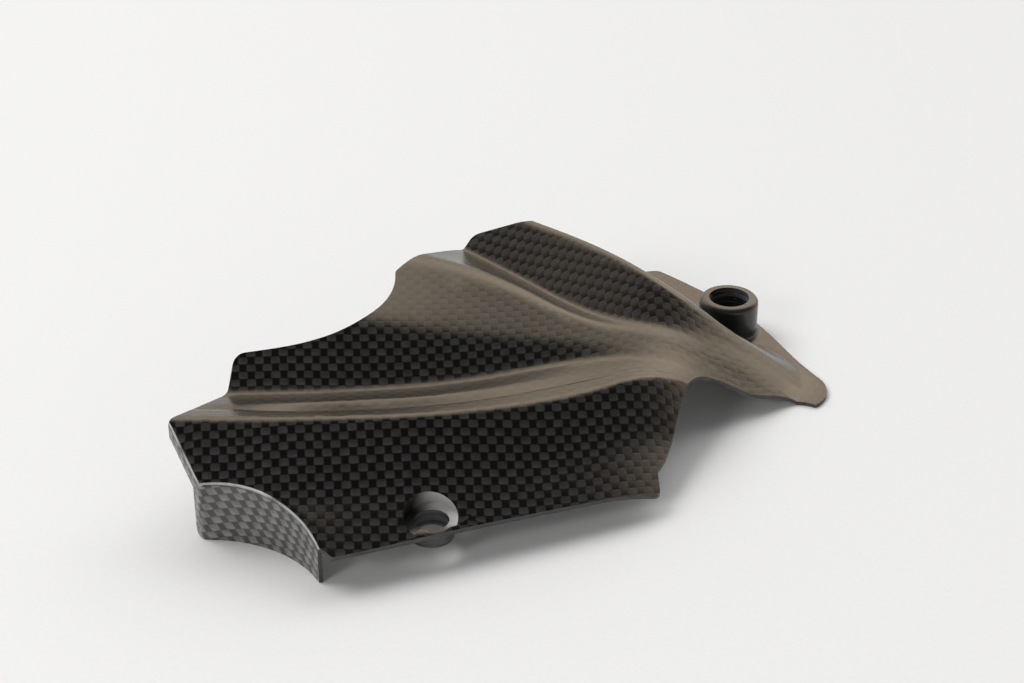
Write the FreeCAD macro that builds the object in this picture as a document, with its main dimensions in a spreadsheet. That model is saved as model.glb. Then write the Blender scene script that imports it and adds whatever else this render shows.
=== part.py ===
"""Sprocket cover: one moulded carbon laminate shell with a bolt boss and a recessed front fixing.

Frame: millimetres, +Z up, the cover lying on its mounting side. The origin is the axis of the bolt
boss on the mounting plane, and +X runs along the straight bottom edge of the front panel.
"""
import FreeCAD, Part
import math
import os

Vector = FreeCAD.Vector
UP = Vector(0, 0, 1)

# Single sizes: alias, value, meaning
SIZES = (
    ("wall", 1.0, "laminate thickness"),
    ("spine_angle", 148, "direction of the skin's spine in plan, degrees from +X"),
    ("skin_degree", 2, "degree of the skin both ways"),
    ("bend_share", 0.45, "longest reach of a bend, as a share of the face beside it"),
    ("trim_height", 60, "height of the prisms that trim the skin"),
    ("same_place", 0.0001, "two points nearer than this are one"),
    ("lip_depth", 4.2, "depth of the turned-down lip at the left end"),
    ("return_length", 3.5, "stretch of the end wall that turns the corner below the lip"),
    ("foot_round", 1.6, "round at the lower corner of that stretch"),
    ("bend_round", 1.2, "outside round where the skin turns down into the end wall and the lip"),
    ("flute_bed", 0.38, "deepest line of the ledge flute, share of the ledge's width"),
    ("flute_end", 0.6, "back edge of the ledge flute, share of the ledge's width"),
    ("boss_radius", 7.9, "outside of the bolt boss"),
    ("boss_height", 11.5, "rim of the boss above the mounting plane"),
    ("boss_flare", 1.6, "round at the foot of the boss"),
    ("boss_edge", 1.4, "round at the rim of the boss"),
    ("boss_bore", 4.2, "radius of the bore through the boss"),
    ("boss_mouth", 5.4, "radius of the mouth of the boss"),
    ("boss_step", 1.5, "height of each step inside the boss"),
    ("boss_steps", 3, "number of steps from the mouth down to the bore"),
    ("fixing_x", -109.5, "front fixing, along the bottom edge"),
    ("fixing_y", -65.2, "front fixing, across the bottom edge"),
    ("fixing_seat", 9.0, "height of the washer seat"),
    ("fixing_hole", 4.1, "radius of the fixing hole"),
    ("fixing_recess", 6.2, "radius of the recess above the seat"),
    ("fixing_lean", 32, "lean of the recess towards the front, square to the panel, degrees"),
    ("fixing_collar", 5.2, "outside radius of the collar below the seat"),
    ("fixing_length", 4.2, "length of the collar"),
)

# Feature lines across the skin, from the front edge to the back foot
LINES = ("toe", "belly", "ridge", "valley", "shoulder", "crown", "gutter", "crest", "heel")

# Stations along the spine: name, distance from the boss axis, then (across, height) on each line
STATIONS = (
    ("tail", 127, (
        (-140, 9), (-117.8, 14.8), (-105.9, 24.3), (-85.6, 18.5), (-64, 33.2), (-29.5, 37.3), (17.5, 30.3),
        (31.5, 36.3), (62.6, 8.3))),
    ("rump", 105, (
        (-140, 9.8), (-118.6, 14.7), (-104.4, 25.6), (-83.1, 19.8), (-64, 32.2), (-31.5, 36), (6.5, 29),
        (20.5, 35), (51, 7))),
    ("loin", 90, (
        (-140, 9.8), (-119, 14.7), (-103, 26.4), (-81.2, 20.6), (-64, 31.5), (-33, 35), (-2, 28), (12, 34),
        (42, 6))),
    ("hip", 60, (
        (-132, 2.4), (-108.5, 15.2), (-95.7, 26.2), (-70.6, 19.8), (-59, 26.4), (-35, 33), (-18.1, 24.6),
        (-1, 33.3), (30, 0))),
    ("waist", 32, (
        (-116, 2), (-90.5, 13.6), (-77.9, 23), (-52.7, 19.4), (-48, 21.3), (-42, 22.8), (-36.2, 22),
        (-13.8, 31.4), (16, 0))),
    ("neck", 12, (
        (-104, 3), (-71.5, 13), (-57.5, 21.4), (-50, 20.8), (-45, 21.2), (-41, 21.8), (-37, 22.4),
        (-26.1, 27.3), (2, 0))),
    ("nose", -6, (
        (-90, -4), (-62, 0), (-46, 4.5), (-40, 6.5), (-36, 8), (-33, 9.2), (-29, 10.3), (-22, 10.8), (0, -3))),
    ("tab", -30, (
        (-90, -4), (-62, -4), (-46, -4), (-40, -4), (-36, -4), (-33, -4), (-29, -4), (-22, -4), (0, -4))),
)

# Ledge flute at each station: front edge as a share of the ledge's width, and depth
FLUTE = (
    ("tail", 0.36, 0), ("rump", 0.35, 0), ("loin", 0.27, 2.8), ("hip", 0.3, 2.2), ("waist", 0.35, 0),
    ("neck", 0.35, 0), ("nose", 0.35, 0), ("tab", 0.35, 0),
)

# How far each bend reaches along the faces beside it, in the order of the bends across the skin
BENDS = (
    ("belly", 10), ("ridge", 5), ("flute_front", 0.8), ("flute_floor", 1.5), ("flute_back", 2), ("valley", 6),
    ("shoulder", 9), ("crown", 10), ("gutter", 3), ("crest", 7),
)

# Corners of the plan outline: name, x, y, radius of the round there
CORNERS = (
    ("tip", -135.0, -70.3, 0),
    ("toe_corner", -53.6, -70.3, 2.5),
    ("side_corner", -51.6, -64.0, 0),
    ("tab_low", 3.6, -42.8, 0),
    ("tab_high", 10.7, -30.0, 0),
    ("back_tab", -2.4, 38.6, 3),
    ("peak", -47.3, 24.5, 4),
    ("gutter_end", -62.5, 29.6, 3.5),
    ("dome_end", -91.8, 8.8, 3),
    ("scallop_end", -137.6, -2.6, 3),
    ("ledge_end", -141.9, -10.4, 2),
    ("ledge_tip", -160.0, -25.2, 0),
    ("lip_end", -157.4, -40.7, 2),
    ("wall_end", -137.4, -66.9, 0),
)

# Points that the curved stretches of the outline pass through: name, x, y
VIA = (
    ("side_via", -43.1, -54.7),
    ("arch_foot", -34.6, -43.7),
    ("arch_top", -24.0, -36.9),
    ("arch_end", -13.2, -39.1),
    ("tab_start", -2.0, -38.9),
    ("tab_nose", 8.6, -39.4),
    ("tab_side", 9.9, -19.0),
    ("back_side", 3.5, 23.7),
    ("back_edge", -22.0, 39.5),
    ("scallop_rise", -100.7, -3.9),
    ("scallop_low", -111.5, -8.2),
    ("scallop_start", -122.3, -7.3),
    ("arc_via", -144.4, -49.7),
)

doc = FreeCAD.newDocument("sprocket_cover")
sheet = doc.addObject("Spreadsheet::Sheet", "sizes")


def fill_sheet():
    """Write every driving size into the sheet, one aliased cell each."""
    rows = list(SIZES)
    for station, place, points in STATIONS:
        rows.append((station + "_place", place, "station along the spine"))
        for name, (across, height) in zip(LINES, points):
            rows.append((f"{station}_{name}_across", across, "across the spine"))
            rows.append((f"{station}_{name}_height", height, "above the mounting plane"))
    for station, start, depth in FLUTE:
        rows.append((station + "_flute_start", start, "front edge of the flute, share of the ledge's width"))
        rows.append((station + "_flute_depth", depth, "depth of the flute below the ledge"))
    for name, reach in BENDS:
        rows.append((name + "_bend", reach, "reach of the bend"))
    for name, x, y, radius in CORNERS:
        rows.append((name + "_round", radius, "round of an outline corner"))
    for name, x, y, *_ in CORNERS + VIA:
        rows.append((name + "_along", x, "outline point, along +X"))
        rows.append((name + "_across", y, "outline point, along +Y"))
    for row, (alias, value, meaning) in enumerate(rows, start=1):
        sheet.set(f"A{row}", meaning)
        sheet.set(f"B{row}", str(value))
        sheet.setAlias(f"B{row}", alias)
    doc.recompute()


fill_sheet()


def size(alias):
    return float(getattr(sheet, alias))


def outline_point(name):
    return Vector(size(name + "_along"), size(name + "_across"), 0)


def same(first, second):
    return abs(first - second) < size("same_place")


def feature(name, shape):
    """Hold a shape made by Part's own functions as an object of the document."""
    holder = doc.addObject("Part::Feature", name)
    holder.Shape = shape
    return holder


def extrusion(name, base, length, direction=UP):
    """Extrude a face by a length from the sheet."""
    prism = doc.addObject("Part::Extrusion", name)
    prism.Base = base
    prism.DirMode = "Custom"
    prism.Dir = direction
    prism.setExpression("LengthFwd", length)
    prism.Solid = True
    return prism


def common(name, base, tool):
    both = doc.addObject("Part::Common", name)
    both.Base = base
    both.Tool = tool
    return both


def cut(name, base, tool):
    rest = doc.addObject("Part::Cut", name)
    rest.Base = base
    rest.Tool = tool
    return rest


def fuse(name, *pieces):
    whole = doc.addObject("Part::MultiFuse", name)
    whole.Shapes = list(pieces)
    return whole


def rounded(name, base, rounds):
    """Round edges of a solid; rounds holds (edge number, radius)."""
    fillet = doc.addObject("Part::Fillet", name)
    fillet.Base = base
    fillet.Edges = [(number, radius, radius) for number, radius in rounds]
    return fillet


def cylinder(name, radius, height, x="0 mm", y="0 mm", z="0 mm"):
    """Upright cylinder; every size and place is an expression on the sheet."""
    rod = doc.addObject("Part::Cylinder", name)
    rod.setExpression("Radius", radius)
    rod.setExpression("Height", height)
    for axis, place in zip("xyz", (x, y, z)):
        rod.setExpression(f"Placement.Base.{axis}", place)
    return rod


def line(start, end):
    return Part.LineSegment(start, end).toShape()


def arc(start, via, end):
    return Part.Arc(start, via, end).toShape()


def curve(*points):
    path = Part.BSplineCurve()
    path.interpolate(list(points))
    return path.toShape()


def plan_face(name, edges):
    return feature(name, Part.Face(Part.Wire(edges)))


# The skin: a control net of rounded sections, one for each station along the spine
HEADING = math.radians(size("spine_angle"))
SPINE = Vector(math.cos(HEADING), math.sin(HEADING), 0)
ACROSS = Vector(SPINE.y, -SPINE.x, 0)


def section_corners(station, depth):
    """Corners of one section in its own plane (across, height), sunk by depth along the normals."""
    corners = [Vector(size(f"{station}_{name}_across"), size(f"{station}_{name}_height"), 0) for name in LINES]
    ledge_back = LINES.index("valley")
    ridge, valley = corners[ledge_back - 1:ledge_back + 1]
    shares = (size(station + "_flute_start"), size("flute_bed"), size("flute_end"))
    flute = [ridge + (valley - ridge) * share for share in shares]
    flute[1].y -= size(station + "_flute_depth")
    corners[ledge_back:ledge_back] = flute
    legs = [(after - before).normalize() for before, after in zip(corners, corners[1:])]
    normals = [Vector(-leg.y, leg.x, 0) for leg in legs]
    sunk = []
    for corner, before, after in zip(corners, normals[:1] + normals, normals + normals[-1:]):
        sunk.append(corner - (before + after) * (depth / (1 + before.dot(after))))
    return sunk


def rounded_poles(corners):
    """Control points of a curve that follows the legs between the corners and rounds each corner."""
    poles = corners[:1]
    for (name, _), before, corner, after in zip(BENDS, corners, corners[1:], corners[2:]):
        beside = []
        for neighbour in (before, after):
            leg = neighbour - corner
            reach = min(size(name + "_bend"), size("bend_share") * leg.Length)
            beside.append(corner + leg * (reach / leg.Length))
        poles += [beside[0], corner, beside[1]]
    return poles + corners[-1:]


def clamped_knots(count, degree):
    """Knots and multiplicities of a clamped curve with evenly spaced inner knots."""
    spans = count - degree
    return list(range(spans + 1)), [degree + 1] + [1] * (spans - 1) + [degree + 1]


def volume_under_skin(name, depth):
    """Everything below the skin, or below its inner side when depth is the laminate's thickness."""
    net = []
    for station, _, _ in STATIONS:
        place = SPINE * size(station + "_place")
        poles = rounded_poles(section_corners(station, depth))
        net.append([place + ACROSS * pole.x + UP * pole.y for pole in poles])
    degree = int(size("skin_degree"))
    along_knots, along_counts = clamped_knots(len(net), degree)
    across_knots, across_counts = clamped_knots(len(net[0]), degree)
    surface = Part.BSplineSurface()
    surface.buildFromPolesMultsKnots(
        net, along_counts, across_counts, along_knots, across_knots, False, False, degree, degree)
    return extrusion(name, feature(name + "_top", surface.toShape()), "sizes.trim_height", -UP)


outer_volume = volume_under_skin("outer_volume", 0)
inner_volume = volume_under_skin("inner_volume", size("wall"))


# The plan outline, trimmed out of the skin
def outline_edges():
    """Edges of the plan outline, anticlockwise from the panel's tip."""
    at = {name: outline_point(name) for name, *_ in CORNERS + VIA}
    boss_side = Vector(size("boss_radius") + size("boss_flare"), 0, 0)
    return [
        line(at["tip"], at["toe_corner"]),
        line(at["toe_corner"], at["side_corner"]),
        curve(at["side_corner"], at["side_via"], at["arch_foot"], at["arch_top"], at["arch_end"],
              at["tab_start"], at["tab_low"]),
        arc(at["tab_low"], at["tab_nose"], at["tab_high"]),
        curve(at["tab_high"], at["tab_side"], boss_side, at["back_side"], at["back_tab"]),
        curve(at["back_tab"], at["back_edge"], at["peak"]),
        line(at["peak"], at["gutter_end"]),
        line(at["gutter_end"], at["dome_end"]),
        curve(at["dome_end"], at["scallop_rise"], at["scallop_low"], at["scallop_start"], at["scallop_end"]),
        line(at["scallop_end"], at["ledge_end"]),
        line(at["ledge_end"], at["ledge_tip"]),
        line(at["ledge_tip"], at["lip_end"]),
        arc(at["lip_end"], at["arc_via"], at["wall_end"]),
        line(at["wall_end"], at["tip"]),
    ]


def outline_prism(name, height):
    """Upright prism on the plan outline, with its corners rounded."""
    sharp = extrusion(name + "_sharp", outline_face, height)
    doc.recompute()
    rounds = []
    for corner, *_ in CORNERS:
        radius = size(corner + "_round")
        place = outline_point(corner)
        for number, edge in enumerate(sharp.Shape.Edges, start=1):
            upright = all(same(vertex.X, place.x) and same(vertex.Y, place.y) for vertex in edge.Vertexes)
            if upright and radius > 0:
                rounds.append((number, radius))
    return rounded(name, sharp, rounds)


def left_end_bends(block):
    """Edges where the skin meets the upright left end, from the end wall round to the lip."""
    doc.recompute()
    low, high = outline_point("wall_end"), outline_point("ledge_tip")
    bends = []
    for number, edge in enumerate(block.Shape.Edges, start=1):
        start, end = edge.Vertexes[0].Point, edge.Vertexes[-1].Point
        level = min(start.z, end.z) > size("wall")
        slanted = math.hypot(end.x - start.x, end.y - start.y) > size("same_place")
        middle = (start + end) * 0.5
        if level and slanted and low.y < middle.y < high.y and middle.x < low.x:
            bends.append((number, size("bend_round")))
    return bends


outline_face = plan_face("outline_face", outline_edges())
sharp_block = common("sharp_block", outer_volume, outline_prism("trim_prism", "sizes.trim_height"))
block = rounded("block", sharp_block, left_end_bends(sharp_block))
shell = cut("shell", block, inner_volume)

# The flat flange: the plan outline, as thick as the laminate, wherever the skin stands no higher
flange = cut("flange", outline_prism("flange_plate", "sizes.wall"), inner_volume)


# The end wall along the arc, its return round the corner, and the lip along the straight left end
def end_wall_loop():
    """Plan of the end wall: two arcs on one centre, the laminate's thickness apart."""
    start, via, end = (outline_point(name) for name in ("wall_end", "arc_via", "lip_end"))
    centre = Part.Circle(start, via, end).Center
    deeper = [point + (point - centre).normalize() * size("wall") for point in (start, via, end)]
    return [arc(start, via, end), line(end, deeper[2]), arc(*reversed(deeper)), line(deeper[0], start)]


def left_strip(length):
    """Plan of a strip as wide as the laminate, along the left end from the wall's corner."""
    corner, far = outline_point("lip_end"), outline_point("ledge_tip")
    run = (far - corner).normalize()
    inward = Vector(run.y, -run.x, 0) * size("wall")
    loop = [corner, corner + run * length, corner + run * length + inward, corner + inward]
    return [line(start, end) for start, end in zip(loop, loop[1:] + loop[:1])]


def wall_piece(name, edges):
    return common(name, extrusion(name + "_prism", plan_face(name + "_plan", edges), "sizes.trim_height"), block)


def foot_corner(piece):
    """Lower edge at the free end of the return."""
    doc.recompute()
    corner, far = outline_point("lip_end"), outline_point("ledge_tip")
    run = (far - corner).normalize()
    found = []
    for number, edge in enumerate(piece.Shape.Edges, start=1):
        ends = [vertex.Point for vertex in edge.Vertexes]
        if all(same(end.z, 0) and same((end - corner).dot(run), size("return_length")) for end in ends):
            found.append((number, size("foot_round")))
    return found


end_wall = wall_piece("end_wall", end_wall_loop())
sharp_return = wall_piece("sharp_return", left_strip(size("return_length")))
wall_return = rounded("wall_return", sharp_return, foot_corner(sharp_return))
lip_length = (outline_point("ledge_tip") - outline_point("lip_end")).Length
lip_strip = wall_piece("lip_strip", left_strip(lip_length))
below_lip = feature("below_lip", outer_volume.Shape.translated(UP * -size("lip_depth")))
lip = cut("lip", lip_strip, below_lip)


# The bolt boss: a turned post with a flared foot and a stepped bore
def boss_profile():
    """Half section of the boss, outside only, in the XZ plane."""
    radius, height = size("boss_radius"), size("boss_height")
    flare, edge, floor = size("boss_flare"), size("boss_edge"), size("wall")
    ease = 1 - math.sqrt(0.5)
    foot_low, foot = Vector(radius + flare, 0, 0), Vector(radius + flare, 0, floor)
    neck, rim_side = Vector(radius, 0, floor + flare), Vector(radius, 0, height - edge)
    rim_top, axis_top, axis_foot = Vector(radius - edge, 0, height), Vector(0, 0, height), Vector(0, 0, 0)
    return [
        line(axis_foot, foot_low),
        line(foot_low, foot),
        arc(foot, Vector(radius + flare * ease, 0, floor + flare * ease), neck),
        line(neck, rim_side),
        arc(rim_side, Vector(radius - edge * ease, 0, height - edge * ease), rim_top),
        line(rim_top, axis_top),
        line(axis_top, axis_foot),
    ]


boss = doc.addObject("Part::Revolution", "boss")
boss.Source = plan_face("boss_section", boss_profile())
boss.Axis = UP
boss.Solid = True
bores = [cylinder("boss_bore", "sizes.boss_bore", "sizes.boss_height")]
for step in range(int(size("boss_steps"))):
    bores.append(cylinder(
        f"boss_ring_{step + 1}",
        f"sizes.boss_mouth - (sizes.boss_mouth - sizes.boss_bore) * {step} / sizes.boss_steps",
        f"sizes.boss_step * {step + 1}",
        z=f"sizes.boss_height - sizes.boss_step * {step + 1}"))

# The front fixing: a level washer seat, sunk by a recess that leans square to the panel, and a collar below
at_fixing = {"x": "sizes.fixing_x", "y": "sizes.fixing_y"}


def leaning_rod(name, radius, floor):
    """Rod through the middle of the washer seat, leaning square to the panel, above a level floor."""
    lean = FreeCAD.Rotation(SPINE, -size("fixing_lean"))
    run = lean.multVec(UP)
    rod = cylinder(
        name + "_rod", radius, "2 * sizes.trim_height",
        x=f"sizes.fixing_x - {run.x} * sizes.trim_height",
        y=f"sizes.fixing_y - {run.y} * sizes.trim_height",
        z=f"sizes.fixing_seat - {run.z} * sizes.trim_height")
    rod.Placement = FreeCAD.Placement(Vector(), lean)
    above = cylinder(name + "_above", "sizes.trim_height", "sizes.trim_height", z=floor, **at_fixing)
    return common(name, rod, above)


cup_post = leaning_rod("cup_post", "sizes.fixing_recess + sizes.wall", "sizes.fixing_seat - sizes.wall")
cup = common("cup", cup_post, block)
collar = cylinder("collar", "sizes.fixing_collar", "sizes.fixing_length",
                  z="sizes.fixing_seat - sizes.fixing_length", **at_fixing)
recess = leaning_rod("recess", "sizes.fixing_recess", "sizes.fixing_seat")
bores.append(cylinder("fixing_hole", "sizes.fixing_hole", "sizes.trim_height", **at_fixing))

solid_cover = fuse("solid_cover", shell, flange, end_wall, wall_return, lip, boss, cup, collar)
cover = cut("sprocket_cover", solid_cover, fuse("openings", recess, *bores))
cover.Label = "sprocket_cover"
doc.recompute()

for item in doc.Objects:
    if "Invalid" in item.State or "Error" in item.State:
        raise RuntimeError(f"{item.Name} did not build")
if cover.Shape.isNull() or not cover.Shape.isValid() or len(cover.Shape.Solids) != 1:
    raise RuntimeError("the cover is not one valid solid")
os.makedirs("parts", exist_ok=True)
cover.Shape.exportStep("parts/sprocket_cover.step")
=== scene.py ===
# %% [markdown]
# # A moulded sprocket cover in carbon laminate
# The real part is one thin shell of woven carbon, moulded over a tool and trimmed. The imported CAD model
# is the fixed frame here: it gives the shape and the size, and this lesson gives the shell its finish.

# %% Load the frame
import bpy
import math
import numpy as np
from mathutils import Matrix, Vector
from mathutils.bvhtree import BVHTree


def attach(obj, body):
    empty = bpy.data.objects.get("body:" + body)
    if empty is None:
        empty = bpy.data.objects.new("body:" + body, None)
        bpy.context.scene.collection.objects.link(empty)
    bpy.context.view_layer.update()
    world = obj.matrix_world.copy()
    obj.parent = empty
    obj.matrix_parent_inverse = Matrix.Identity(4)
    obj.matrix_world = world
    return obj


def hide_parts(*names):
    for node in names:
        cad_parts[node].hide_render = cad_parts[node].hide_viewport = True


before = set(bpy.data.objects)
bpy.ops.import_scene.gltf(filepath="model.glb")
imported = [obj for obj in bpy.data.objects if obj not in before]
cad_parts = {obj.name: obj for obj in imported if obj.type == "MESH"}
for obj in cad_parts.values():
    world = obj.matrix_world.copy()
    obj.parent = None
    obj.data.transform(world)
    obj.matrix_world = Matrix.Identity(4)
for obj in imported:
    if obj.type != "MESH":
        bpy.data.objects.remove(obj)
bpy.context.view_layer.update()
MM = 0.001


def millimetres(*values):
    """Lengths in millimetres as a vector in metres."""
    return Vector(values) * MM


# %% [markdown]
# ## The shell
# A CAD mesh arrives as loose triangles, so light breaks at every edge. The triangles could be welded by
# hand or by a remesh, but a remesh would blunt the trimmed edge. A copy is welded instead, with Merge by
# Distance, and it then stands for the CAD node. The normals that came with the triangles no longer fit
# after a weld, so they are cleared first. Smoothing by angle keeps the trimmed edges crisp and lets the
# light run smoothly over the folds.

# %% Weld a copy of the moulding
WELD = 0.002 * MM
CRISP_ANGLE = math.radians(38)

bpy.ops.object.select_all(action="DESELECT")
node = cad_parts["sprocket_cover"]
node.select_set(True)
bpy.context.view_layer.objects.active = node
bpy.ops.object.duplicate()
shell = bpy.context.object
shell.name = "moulded_shell"
shell.data.name = "moulded_shell"
bpy.ops.mesh.customdata_custom_splitnormals_clear()
bpy.ops.object.mode_set(mode="EDIT")
bpy.ops.mesh.select_all(action="SELECT")
bpy.ops.mesh.remove_doubles(threshold=WELD)
bpy.ops.object.mode_set(mode="OBJECT")
bpy.ops.object.shade_smooth_by_angle(angle=CRISP_ANGLE)
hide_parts("sprocket_cover")
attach(shell, "root")
print("welded shell:", len(shell.data.vertices), "points,", len(shell.data.polygons), "triangles")

# %% [markdown]
# ## Faces of one moulding
# One laminate still shows several finishes: the glossy face off the mould, the dull back, the cut edge
# and the turned boss. They could be painted with a mask, but slots on the faces are exact and travel with
# the mesh. Each face is told apart by where it lies and which way it looks.

# %% Sort the faces into finishes
ARC_CENTRE = millimetres(-167.68, -69.23, 0)
ARC_RADIUS = 30.36 * MM
LIP_START = millimetres(-157.4, -40.7, 0)
LIP_END = millimetres(-160.0, -25.2, 0)
FIXING = millimetres(-109.5, -65.2, 0)
FIXING_REACH = 7.6 * MM
FIXING_HOLE = 4.3 * MM
FIXING_SEAT = 9.0 * MM
PANEL_LEAN = 0.75
BOSS_REACH = 9.6 * MM
BOSS_MOUTH = 6.1 * MM
LAMINATE = 1.0 * MM
SEAT_PLAY = 0.1 * LAMINATE
END_PLAY = 0.35 * LAMINATE
TURNED_OUT = 0.5
UPRIGHT = 0.3
LEVEL = 0.99
CUT_SQUARE = 0.02
FINISHES = ("moulded_face", "bagged_back", "trimmed_edge", "turned_bore", "bare_resin", "recess_resin",
            "end_wall")

mesh = shell.data
lip_run = (LIP_END - LIP_START).normalized()
lip_out = Vector((-lip_run.y, lip_run.x, 0))


def flat_distance(point, centre):
    return math.hypot(point.x - centre.x, point.y - centre.y)


def left_end(point, facing):
    """Distance inside the left end, and how far a face there turns to the outside, from -1 to 1."""
    if (point - LIP_START).dot(lip_run) > 0:
        return (LIP_START - point).dot(lip_out), facing.dot(lip_out)
    outwards = Vector((ARC_CENTRE.x - point.x, ARC_CENTRE.y - point.y, 0))
    return outwards.length - ARC_RADIUS, facing.dot(outwards.normalized())


def finish_of(face):
    """Name of the finish on one face of the welded shell."""
    point, facing = face.center, face.normal
    from_boss, from_fixing = flat_distance(point, Vector()), flat_distance(point, FIXING)
    if from_boss < BOSS_MOUTH and facing.z > -UPRIGHT:
        return "turned_bore"
    if from_boss < BOSS_REACH and facing.z > -UPRIGHT:
        return "bare_resin"
    if from_fixing < FIXING_HOLE and facing.z > -UPRIGHT:
        return "turned_bore"
    on_seat = abs(point.z - FIXING_SEAT) < SEAT_PLAY and facing.z > LEVEL
    above_seat = point.z > FIXING_SEAT - LAMINATE / 2 and -PANEL_LEAN < facing.z < UPRIGHT
    looks_in = (FIXING.x - point.x) * facing.x + (FIXING.y - point.y) * facing.y > 0
    if from_fixing < FIXING_REACH and (on_seat or above_seat and looks_in):
        return "recess_resin"
    inside, turn = left_end(point, facing)
    if abs(inside) < END_PLAY and turn > TURNED_OUT and abs(facing.z) < CUT_SQUARE:
        return "end_wall"
    if abs(facing.z) < CUT_SQUARE:
        return "trimmed_edge"
    return "moulded_face" if facing.z > 0 else "bagged_back"


mesh.materials.clear()
for finish in FINISHES:
    mesh.materials.append(bpy.data.materials.new(finish))
counts = dict.fromkeys(FINISHES, 0)
for face in mesh.polygons:
    finish = finish_of(face)
    face.material_index = FINISHES.index(finish)
    counts[finish] += 1
print("faces in each finish:", counts)

# %% [markdown]
# ## A cloth map
# The weave has to lie on the shell as cloth does, its tows keeping their width over every bend. Object
# coordinates would stretch the pattern on the steep faces, so the shell gets a UV map in millimetres.
# One tow direction runs along the front panel, and the other crosses it. Rays from above measure the
# height of the skin, and adding up the slope along each crossing line gives the true length of cloth. Past
# the trimmed edge the height of the nearest skin along the row goes on, so that the lines stay in step.

# %% Measure the skin from above
ROW_HEADING = math.radians(-22)
ALONG = Vector((math.cos(ROW_HEADING), math.sin(ROW_HEADING), 0))
CROSS = Vector((-math.sin(ROW_HEADING), math.cos(ROW_HEADING), 0))
COLUMN_STEP = 2.0
CROSS_STEP = 0.5
RAY_HEIGHT = 100 * MM

places = [vertex.co for vertex in mesh.vertices]
points = np.array(places) / MM
along_all = points @ np.array(ALONG)
cross_all = points @ np.array(CROSS)
columns = np.arange(along_all.min() - COLUMN_STEP, along_all.max() + 2 * COLUMN_STEP, COLUMN_STEP)
crossings = np.arange(cross_all.min() - CROSS_STEP, cross_all.max() + 2 * CROSS_STEP, CROSS_STEP)
skin = BVHTree.FromPolygons(places, [face.vertices for face in mesh.polygons])


def skin_height(along, cross):
    """Height of the skin in millimetres, or nothing off the skin, on the boss and in the recess."""
    place = (ALONG * along + CROSS * cross) * MM
    if flat_distance(place, Vector()) < BOSS_REACH or flat_distance(place, FIXING) < FIXING_REACH:
        return math.nan
    hit = skin.ray_cast(Vector((place.x, place.y, RAY_HEIGHT)), Vector((0, 0, -1)))[0]
    return hit.z / MM if hit else math.nan


def fill_gaps(places, values):
    """The values with each gap filled from its neighbours, where there are any."""
    seen = ~np.isnan(values)
    return np.interp(places, places[seen], values[seen]) if seen.any() else values


heights = np.array([[skin_height(along, cross) for cross in crossings] for along in columns])
heights = np.array([fill_gaps(columns, line) for line in heights.T]).T
heights = np.array([fill_gaps(crossings, line) for line in heights])
print("cloth measured on", heights.shape, "points, up to", round(float(heights.max()), 1), "mm high")

# %% [markdown]
# Cloth pressed into a mould keeps the length of its tows, so the rows of the real part bow a little and
# its columns lean. Straight rows would be simpler, but the photograph shows the bow on the front panel.
# One bent row is laid through that panel, and every place is measured from it along the skin. The end
# wall stands upright, so its cloth is measured round its arc and up instead.

# %% Lay the cloth on the skin
ROW_CROSS = -91.2
ROW_ALONG = -77.0
ROW_RISE = 0.19
ROW_BOW = 0.0026
COLUMN_LEAN = 0.08
WALL_LEAN = -0.6
WALL_RISE = 0.2


def row_line(along):
    """Where the row through the middle of the front panel crosses each column."""
    run = along - ROW_ALONG
    return ROW_CROSS + ROW_RISE * run + ROW_BOW * run ** 2


rise = np.diff(heights, axis=1)
lengths = np.zeros(heights.shape)
lengths[:, 1:] = np.cumsum(np.hypot(rise, CROSS_STEP), axis=1)
for number, along in enumerate(columns):
    lengths[number] -= np.interp(row_line(along), crossings, lengths[number])


def cloth_length(along, cross):
    """Cloth from that row to a place, by straight-line reading of the measured grid."""
    column = (along - columns[0]) / COLUMN_STEP
    row = (cross - crossings[0]) / CROSS_STEP
    left, low = int(column), int(row)
    mix, lift = column - left, row - low
    near = lengths[left, low] * (1 - lift) + lengths[left, low + 1] * lift
    far = lengths[left + 1, low] * (1 - lift) + lengths[left + 1, low + 1] * lift
    return near * (1 - mix) + far * mix


def wall_cloth(point):
    """Cloth on the upright left end: round the arc or along the lip, and up, a little off square."""
    run = (point - LIP_START).dot(lip_run)
    if run < 0:
        start, here = LIP_START - ARC_CENTRE, point - ARC_CENTRE
        run = (math.atan2(here.y, here.x) - math.atan2(start.y, start.x)) * ARC_RADIUS
    return (run + WALL_LEAN * point.z) / MM, (point.z + WALL_RISE * run) / MM


def skin_cloth(along, cross):
    """Cloth on the skin: along the rows, with columns that lean a little, and across them."""
    length = cloth_length(along, cross)
    return along + COLUMN_LEAN * length, length


cloth = [skin_cloth(along, cross) for along, cross in zip(along_all, cross_all)]
cloth_map = mesh.uv_layers.new(name="cloth")
wall_slot = FINISHES.index("end_wall")
for face in mesh.polygons:
    for corner, vertex in zip(face.loop_indices, face.vertices):
        on_wall = face.material_index == wall_slot
        cloth_map.data[corner].uv = wall_cloth(mesh.vertices[vertex].co) if on_wall else cloth[vertex]
spread = np.array(cloth)
print("cloth map spans", np.round(spread.max(axis=0) - spread.min(axis=0), 1), "mm")

# %% [markdown]
# ## The lean of the skin
# The two tow directions differ most where the skin stands up to the front, and hardly at all where it
# lies level, because fibres gleam across their length. An anisotropic shader could show that, but it
# would need a direction for every tow. So each corner keeps how far it leans to the front, and the
# finish weakens the painted sheen of the floats on the level stretches.

# %% Mark what leans to the front
lean = mesh.attributes.new("leans_front", "FLOAT", "CORNER")
lean.data.foreach_set("value", [-CROSS.dot(corner.vector) for corner in mesh.corner_normals])
print("lean to the front from", *[round(side(item.value for item in lean.data), 2) for side in (min, max)])

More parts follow.
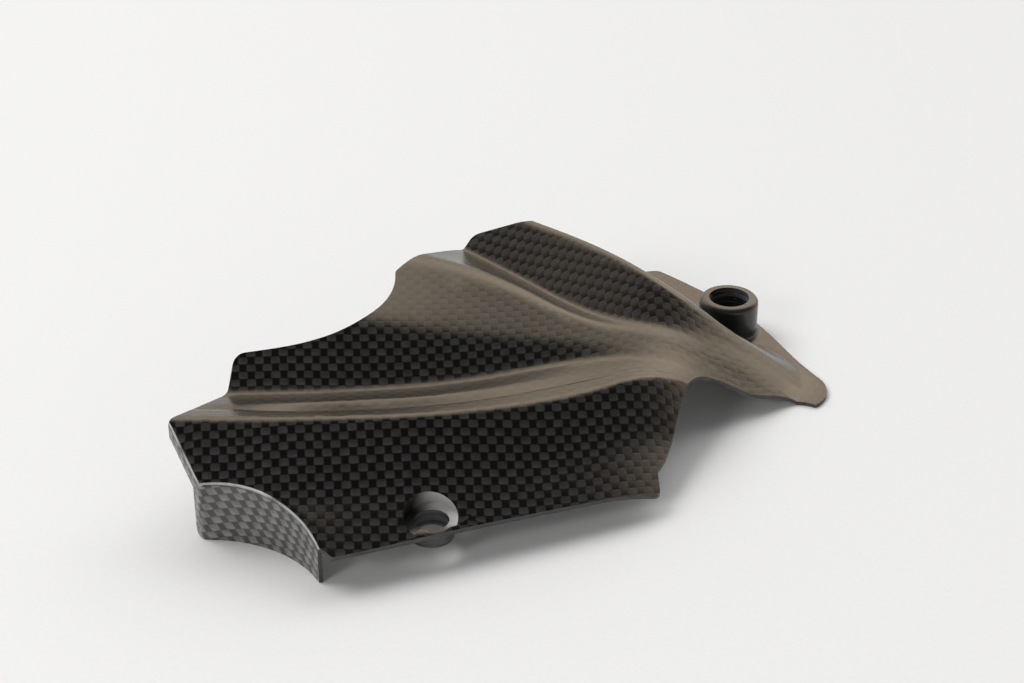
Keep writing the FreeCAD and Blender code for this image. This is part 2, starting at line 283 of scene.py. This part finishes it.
# %% [markdown]
# ## A helper for finishes
# Each finish on the part is a tree of shader nodes. They could be wired one by one in the shader editor,
# but the same few steps come back in every finish, so a small class adds the nodes and links them.

# %% A helper for materials
NOISE_DETAIL = 2.0


class Finish:
    """Small helper round one material's node tree."""

    def __init__(self, name):
        self.material = bpy.data.materials[name]
        self.material.use_nodes = True
        self.tree = self.material.node_tree
        self.shader = next(node for node in self.tree.nodes if node.type == "BSDF_PRINCIPLED")

    def add(self, kind, **values):
        added = self.tree.nodes.new(kind)
        for name, value in values.items():
            setattr(added, name, value)
        return added

    def feed(self, socket, value):
        """Link an output to a socket, or set the socket to a number or colour."""
        if isinstance(value, bpy.types.NodeSocket):
            self.tree.links.new(value, socket)
        else:
            socket.default_value = value

    def maths(self, operation, *values):
        step = self.add("ShaderNodeMath", operation=operation)
        for socket, value in zip(step.inputs, values):
            self.feed(socket, value)
        return step.outputs[0]

    def limit(self, value):
        """A value kept between -1 and 1."""
        return self.maths("MAXIMUM", self.maths("MINIMUM", value, 1.0), -1.0)

    def spread(self, value, low, high, to_low=0.0, to_high=1.0):
        """Smooth step of a value from one range to another."""
        step = self.add("ShaderNodeMapRange", interpolation_type="SMOOTHSTEP")
        for socket, number in zip(step.inputs, (value, low, high, to_low, to_high)):
            self.feed(socket, number)
        return step.outputs[0]

    def blend(self, factor, first, second):
        step = self.add("ShaderNodeMix", data_type="RGBA", clamp_factor=False)
        self.feed(step.inputs[0], factor)
        self.feed(step.inputs[6], first)
        self.feed(step.inputs[7], second)
        return step.outputs[2]

    def bump(self, height, distance, strength):
        step = self.add("ShaderNodeBump")
        step.inputs["Strength"].default_value = strength
        step.inputs["Distance"].default_value = distance
        self.feed(step.inputs["Height"], height)
        return step.outputs[0]

    def noise(self, vector, scale):
        step = self.add("ShaderNodeTexNoise")
        self.feed(step.inputs["Vector"], vector)
        step.inputs["Scale"].default_value = scale
        step.inputs["Detail"].default_value = NOISE_DETAIL
        return step.outputs[0]


print(len(mesh.materials), "materials wait for a finish")

# %% [markdown]
# ## The laminate's finish
# A plain weave shows floats of two tow directions by turns, and each catches the light its own way. A
# checker texture would give hard squares, so two sine waves make soft cells: their product is positive on
# the floats along the rows and negative on those across. The floats along the rows are the longer ones,
# and they are painted paler, a painted sheen for the way they catch the light. Each is painted palest at
# its lower edge and darker at its upper edge, a painted highlight and shade of its pillow. The same waves
# make the pillow of each float for the bump. The satin resin over it is the gloss of the shader, smooth
# enough to mirror the room softly.

# %% Nodes for the weave
TOW = 2.0
LONGER_FLOAT = 0.3
FLOAT_CRISPNESS = 2.0
FLOAT_FADE = (-0.45, 0.85)
LOWER_EDGE_HIGHLIGHT = 1.25
UPPER_EDGE_SHADE = 0.7
PILLOW_ROUND = 0.5


def weave(finish):
    """Mask of the floats along the rows, with a painted highlight towards their lower edges, and the pillow
    of every float.
    """
    place = finish.add("ShaderNodeUVMap", uv_map="cloth").outputs[0]
    split = finish.add("ShaderNodeSeparateXYZ")
    finish.feed(split.inputs[0], place)
    along, across = [finish.maths("DIVIDE", axis, TOW) for axis in split.outputs[:2]]
    waves = [finish.maths("SINE", finish.maths("MULTIPLY", axis, math.pi)) for axis in (along, across)]
    row = finish.limit(finish.maths("MULTIPLY", waves[1], FLOAT_CRISPNESS))
    longer = finish.maths("MULTIPLY_ADD", row, LONGER_FLOAT, waves[0])
    column = finish.limit(finish.maths("MULTIPLY", longer, FLOAT_CRISPNESS))
    cell = finish.maths("MULTIPLY", column, row)
    # Painted highlight at the lower edge of each float, and painted shade at its upper edge.
    edge_highlight = finish.spread(finish.maths("FRACT", across), 0.0, 1.0, LOWER_EDGE_HIGHLIGHT, UPPER_EDGE_SHADE)
    mask = finish.maths("MULTIPLY", finish.spread(cell, *FLOAT_FADE), edge_highlight)
    swell = [finish.maths("ABSOLUTE", wave) for wave in waves]
    pillow = finish.maths("POWER", finish.maths("MULTIPLY", swell[0], swell[1]), PILLOW_ROUND)
    return place, mask, pillow


print("weave of", TOW, "mm tows is ready")

# %% [markdown]
# The same cloth looks different on each side of the real part: glossy and dark off the mould, paler on the
# end wall, where the tows catch the light from the left, which is painted into its tones, and dull on the
# back, which a bag pressed. Three materials could be built by hand, but one function with the tones and
# the roughness as its values keeps them alike.

# %% The glossy face, the end wall and the dull back
RESIN_IOR = 1.55
LEAN_FADE = (0.1, 0.5)
DRIFT_SCALE = 0.35
DRIFT_FADE = (0.3, 0.7)
DRIFT_RANGE = (0.75, 1.15)
PILLOW_HEIGHT = 0.1 * MM
BUMP_STRENGTH = 0.3


def laminate(name, light, dark, roughness, level_share):
    """Woven carbon under resin: tone by float as painted sheen, weaker where level, a little drift, pillow
    bump.
    """
    finish = Finish(name)
    place, mask, pillow = weave(finish)
    leaning = finish.add("ShaderNodeAttribute", attribute_name="leans_front").outputs["Fac"]
    # Painted sheen: the paler floats stand for how the tows catch the light, weakened where the skin lies
    # level.
    share = finish.spread(leaning, *LEAN_FADE, level_share, 1.0)
    mask, pillow = [finish.maths("MULTIPLY", pattern, share) for pattern in (mask, pillow)]
    drift = finish.spread(finish.noise(place, DRIFT_SCALE), *DRIFT_FADE, *DRIFT_RANGE)
    tone = finish.blend(mask, (*dark, 1), (*light, 1))
    scaled = finish.add("ShaderNodeVectorMath", operation="SCALE")
    finish.feed(scaled.inputs[0], tone)
    finish.feed(scaled.inputs["Scale"], drift)
    finish.tone = scaled.outputs[0]
    finish.feed(finish.shader.inputs["Base Color"], finish.tone)
    finish.feed(finish.shader.inputs["Normal"], finish.bump(pillow, PILLOW_HEIGHT, BUMP_STRENGTH))
    finish.shader.inputs["Roughness"].default_value = roughness
    finish.shader.inputs["IOR"].default_value = RESIN_IOR
    print(name, "is woven, tows", TOW, "mm wide")
    return finish


face_finish = laminate("moulded_face", (0.034, 0.034, 0.0345), (0.002, 0.002, 0.0021), 0.22, 0.4)
# The end wall's paler tones are painted light, a lit copy of the same cloth.
laminate("end_wall", (0.2, 0.195, 0.185), (0.06, 0.06, 0.06), 0.2, 1.0)
laminate("bagged_back", (0.03, 0.03, 0.03), (0.014, 0.014, 0.014), 0.6, 1.0)

# %% [markdown]
# ## The painted highlight on the bend
# Where the skin turns down over the end wall, the bend catches the light in a pale line, and this
# highlight is painted into the colour. It could be a strip of faces, but triangles would leave it ragged.
# Each point of the mesh keeps its distance inside the left end as an attribute instead, and the finish
# turns pale within the width of the painted highlight.

# %% Paint the highlight on the bend
BEND_HIGHLIGHT_START = 0.12
BEND_HIGHLIGHT_END = 0.3
BEND_HIGHLIGHT_FADE = 0.1
BEND_HIGHLIGHT_COLOUR = (0.42, 0.42, 0.41, 1)
BEND_HIGHLIGHT_PATCHES = 150.0
PATCH_FADE = (0.35, 0.6)
PATCH_LEAST = 0.25
FACE_UP = Vector((0, 0, 1))

inside_end = mesh.attributes.new("inside_left_end", "FLOAT", "POINT")
inside_end.data.foreach_set("value", [left_end(vertex.co, FACE_UP)[0] / MM for vertex in mesh.vertices])
depth = face_finish.add("ShaderNodeAttribute", attribute_name="inside_left_end").outputs["Fac"]
begins = face_finish.spread(depth, BEND_HIGHLIGHT_START - BEND_HIGHLIGHT_FADE, BEND_HIGHLIGHT_START)
ends = face_finish.spread(depth, BEND_HIGHLIGHT_END, BEND_HIGHLIGHT_END + BEND_HIGHLIGHT_FADE, 1.0, 0.0)
patches = face_finish.noise(face_finish.add("ShaderNodeTexCoord").outputs["Object"], BEND_HIGHLIGHT_PATCHES)
strength = face_finish.spread(patches, *PATCH_FADE, PATCH_LEAST, 1.0)
bend_highlight = face_finish.maths("MULTIPLY", face_finish.maths("MULTIPLY", begins, ends), strength)
# Painted highlight: the bend turns pale grey, broken into patches by noise.
highlighted_tone = face_finish.blend(bend_highlight, face_finish.tone, BEND_HIGHLIGHT_COLOUR)
face_finish.feed(face_finish.shader.inputs["Base Color"], highlighted_tone)
print("bend_highlight", round(BEND_HIGHLIGHT_END - BEND_HIGHLIGHT_START, 2), "mm wide")

# %% [markdown]
# ## Cut edge and boss
# A trimmed laminate shows its plies as fine grey layers, dull beside the moulded face. The bore of the
# boss is turned resin, dark and smooth, and its outside is bare resin with a faint mottle. Rings could be
# modelled, but all three are small, so noise is enough: flattened into layers on the edge and the bore,
# and even on the outside. It reads Object coordinates because no cloth follows these faces.

# %% Finish the cut edge and the boss
LAYER_FADE = (0.35, 0.65)
LAYER_HEIGHT = 0.05 * MM


def layered(name, colour, bright, scale, roughness):
    """Dark resin under noise, which a large upright scale flattens into fine level layers."""
    finish = Finish(name)
    place = finish.add("ShaderNodeTexCoord").outputs["Object"]
    stretch = finish.add("ShaderNodeMapping")
    stretch.inputs["Scale"].default_value = scale
    finish.feed(stretch.inputs["Vector"], place)
    layers = finish.noise(stretch.outputs[0], 1.0)
    tone = finish.blend(finish.spread(layers, *LAYER_FADE), (*colour, 1), (*bright, 1))
    finish.feed(finish.shader.inputs["Base Color"], tone)
    finish.feed(finish.shader.inputs["Normal"], finish.bump(layers, LAYER_HEIGHT, BUMP_STRENGTH))
    finish.shader.inputs["Roughness"].default_value = roughness
    print(name, "has noise of scale", scale)


layered("trimmed_edge", (0.03, 0.03, 0.03), (0.07, 0.068, 0.065), (300, 300, 4000), 0.45)
layered("turned_bore", (0.012, 0.012, 0.013), (0.1, 0.1, 0.105), (60, 60, 900), 0.2)
layered("bare_resin", (0.02, 0.02, 0.02), (0.032, 0.031, 0.03), (150, 150, 150), 0.25)

# %% [markdown]
# ## The recess
# The bolt's recess is pressed through the cloth, and its wall is dark resin with a painted reflection
# that turns pale grey towards the back right, while the front left stays dark. A mask could be painted,
# but one gradient across the recess in Object coordinates is enough.

# %% Finish the recess
GLINT_HEADING = Vector((0.93, 0.37, 0))
GLINT_START = -1.0 * MM
GLINT_END = 5.0 * MM
RECESS_DARK_RESIN = (0.025, 0.024, 0.023, 1)
RECESS_REFLECTION = (0.6, 0.6, 0.59, 1)
RECESS_ROUGHNESS = 0.15

recess = Finish("recess_resin")
place = recess.add("ShaderNodeTexCoord").outputs["Object"]
offset = recess.add("ShaderNodeVectorMath", operation="SUBTRACT")
recess.feed(offset.inputs[0], place)
offset.inputs[1].default_value = FIXING
toward_glint = recess.add("ShaderNodeVectorMath", operation="DOT_PRODUCT")
recess.feed(toward_glint.inputs[0], offset.outputs[0])
toward_glint.inputs[1].default_value = GLINT_HEADING
# Painted reflection: the wall fades from dark resin to pale grey towards the back right.
depth = recess.spread(toward_glint.outputs["Value"], GLINT_START, GLINT_END)
recess.feed(recess.shader.inputs["Base Color"], recess.blend(depth, RECESS_DARK_RESIN, RECESS_REFLECTION))
recess.shader.inputs["Roughness"].default_value = RECESS_ROUGHNESS
print("recess resin pools over", round((GLINT_END - GLINT_START) / MM, 1), "mm")

# %% [markdown]
# ## Floor and light
# The photograph shows the part on white card in a bright room. Level faces mirror a sunny beige wall at
# the back, brightest to the right and half way up; faces turned to the camera mirror a dark ceiling.
# A ring of lamps could stand for the room, but a world that fades from wall to ceiling is simpler. Only
# mirrored rays see the beige, so the card stays white. A large window lamp at the back left throws the
# soft shadow, and a small soft lamp at the front left brightens the bends there.

# %% The white card
FLOOR_SIZE = 6.0
GRAIN_SCALE = 900.0
GRAIN_FADE = (0.3, 0.7)
PAPER_DARK = (0.84, 0.84, 0.835, 1)
PAPER_LIGHT = (0.86, 0.86, 0.855, 1)
PAPER_ROUGHNESS = 0.8
PAPER_GLOSS = 0.2

bpy.ops.object.select_all(action="DESELECT")
bpy.ops.mesh.primitive_plane_add(size=FLOOR_SIZE, location=(0, 0, 0))
card = bpy.context.object
card.name = "white_card"
card.data.materials.append(bpy.data.materials.new("white_card"))
paper = Finish("white_card")
grain = paper.noise(paper.add("ShaderNodeTexCoord").outputs["Object"], GRAIN_SCALE)
tone = paper.blend(paper.spread(grain, *GRAIN_FADE), PAPER_DARK, PAPER_LIGHT)
paper.feed(paper.shader.inputs["Base Color"], tone)
paper.shader.inputs["Roughness"].default_value = PAPER_ROUGHNESS
paper.shader.inputs["Specular IOR Level"].default_value = PAPER_GLOSS
print("card", FLOOR_SIZE, "m wide")

# %% [markdown]
# The room round the part is a node tree of its own, on the world. Its nodes could be wired one by one, but
# a few small functions keep the fades easy to read.

# %% Helpers for the room
world = bpy.data.worlds.new("pale_room")
bpy.context.scene.world = world
world.use_nodes = True
links, nodes = world.node_tree.links, world.node_tree.nodes


def room_step(kind, *values, **settings):
    """Add a node to the room and link or set its inputs in order."""
    step = nodes.new(kind)
    for name, value in settings.items():
        setattr(step, name, value)
    for socket, value in values:
        if isinstance(value, bpy.types.NodeSocket):
            links.new(value, step.inputs[socket])
        else:
            step.inputs[socket].default_value = value
    return step


def room_fade(value, low, high, to_low=0.0, to_high=1.0):
    inputs = ((0, value), (1, low), (2, high), (3, to_low), (4, to_high))
    return room_step("ShaderNodeMapRange", *inputs, interpolation_type="SMOOTHSTEP").outputs[0]


def room_towards(heading):
    inputs = ((0, looking), (1, heading))
    return room_step("ShaderNodeVectorMath", *inputs, operation="DOT_PRODUCT").outputs["Value"]


def room_mix(factor, first, second, blend_type="MIX"):
    inputs = ((0, factor), (6, first), (7, second))
    return room_step("ShaderNodeMix", *inputs, data_type="RGBA", blend_type=blend_type).outputs[2]


looking = room_step("ShaderNodeTexCoord").outputs["Generated"]
print("room starts as", world.name)

# %% [markdown]
# The wall is dim at its foot and bright above, and its beige starts just under the horizon, because the
# ledge mirrors that height. The sides are pale at the foot and fade to a dark ceiling, which the front
# panel mirrors, so that its weave shows. Lamps could stand for the wall, but the gloss would show their
# edges, and a fade has none.

# %% Fade the room from wall to ceiling
BACK_HEADING = (0.374, 0.927, 0)
RIGHT_HEADING = (0.927, -0.374, 0)
WALL_LOW = (0.75, 0.75, 0.75, 1)
WALL_HIGH = (2.2, 2.2, 2.2, 1)
WALL_RIGHT = 1.5
BEIGE = (1.0, 0.82, 0.62, 1)
WHITE = (1, 1, 1, 1)
SIDE_COLOUR = (0.72, 0.72, 0.71, 1)
CEILING_COLOUR = (0.075, 0.075, 0.078, 1)
WALL_FADE = (0.05, 0.6)
RIGHT_FADE = (0.0, 0.55)
BEIGE_FADE = (-0.12, 0.0)
CEILING_FADE = (0.2, 0.55)
BACK_FADE = (0.2, 0.72)

height = room_step("ShaderNodeSeparateXYZ", (0, looking)).outputs["Z"]
wall = room_mix(room_fade(height, *WALL_FADE), WALL_LOW, WALL_HIGH)
brighter = room_fade(room_towards(RIGHT_HEADING), *RIGHT_FADE, 1.0, WALL_RIGHT)
wall = room_step("ShaderNodeVectorMath", (0, wall), (3, brighter), operation="SCALE").outputs[0]
mirrored = room_step("ShaderNodeLightPath").outputs["Is Glossy Ray"]
tint = room_mix(room_fade(height, *BEIGE_FADE), WHITE, BEIGE)
sides = room_mix(room_fade(height, *CEILING_FADE), SIDE_COLOUR, CEILING_COLOUR)
room = room_mix(room_fade(room_towards(BACK_HEADING), *BACK_FADE), sides, wall)
room = room_mix(1.0, room, room_mix(mirrored, WHITE, tint), "MULTIPLY")
links.new(room, nodes["Background"].inputs["Color"])
print("room: back wall up to", round(WALL_HIGH[0] * WALL_RIGHT, 2), "and ceiling", CEILING_COLOUR[0])

# %% [markdown]
# The window gives the soft shadow to the front right. It is kept out of the gloss, where it would show as
# a square. The small lamp stays in it, to brighten the bends at the left end.

# %% Hang the two lamps
LAMP_COLOUR = (1.0, 0.99, 0.98)


def soft_lamp(name, energy, size, place, shows_in_gloss):
    """A square lamp that looks at the part, seen or not in mirrored rays."""
    light = bpy.data.lights.new(name, "AREA")
    light.energy = energy
    light.size = size
    light.color = LAMP_COLOUR
    lamp = bpy.data.objects.new(name, light)
    bpy.context.scene.collection.objects.link(lamp)
    lamp.location = place
    lamp.rotation_euler = (-lamp.location).to_track_quat("-Z", "Y").to_euler()
    lamp.visible_glossy = shows_in_gloss
    print(name, energy, "W,", size, "m wide")


soft_lamp("window", 53, 2.0, (-1.6, 1.4, 2.6), False)
soft_lamp("front_lamp", 7, 0.5, (-1.6, -0.7, 0.9), True)

# %% [markdown]
# ## The camera
# The place and the lens were worked out from corners of the part in the photograph, so the part falls in
# the picture as it does there. A longer lens from further off would flatten the folds.

# %% Stand the camera
CAMERA_PLACE = millimetres(-243.41, -445.91, 289.0)
CAMERA_TARGET = millimetres(-55.9, 18.2, 0)
CAMERA_ANGLE = math.radians(27)

lens = bpy.data.cameras.new("photo_view")
lens.sensor_fit = "HORIZONTAL"
lens.angle = CAMERA_ANGLE
camera = bpy.data.objects.new("photo_view", lens)
bpy.context.scene.collection.objects.link(camera)
camera.location = CAMERA_PLACE
camera.rotation_euler = (CAMERA_TARGET - CAMERA_PLACE).to_track_quat("-Z", "Y").to_euler()
bpy.context.scene.camera = camera
bpy.context.scene.view_settings.view_transform = "Standard"
print("camera", round((CAMERA_TARGET - CAMERA_PLACE).length, 3), "m from its target")
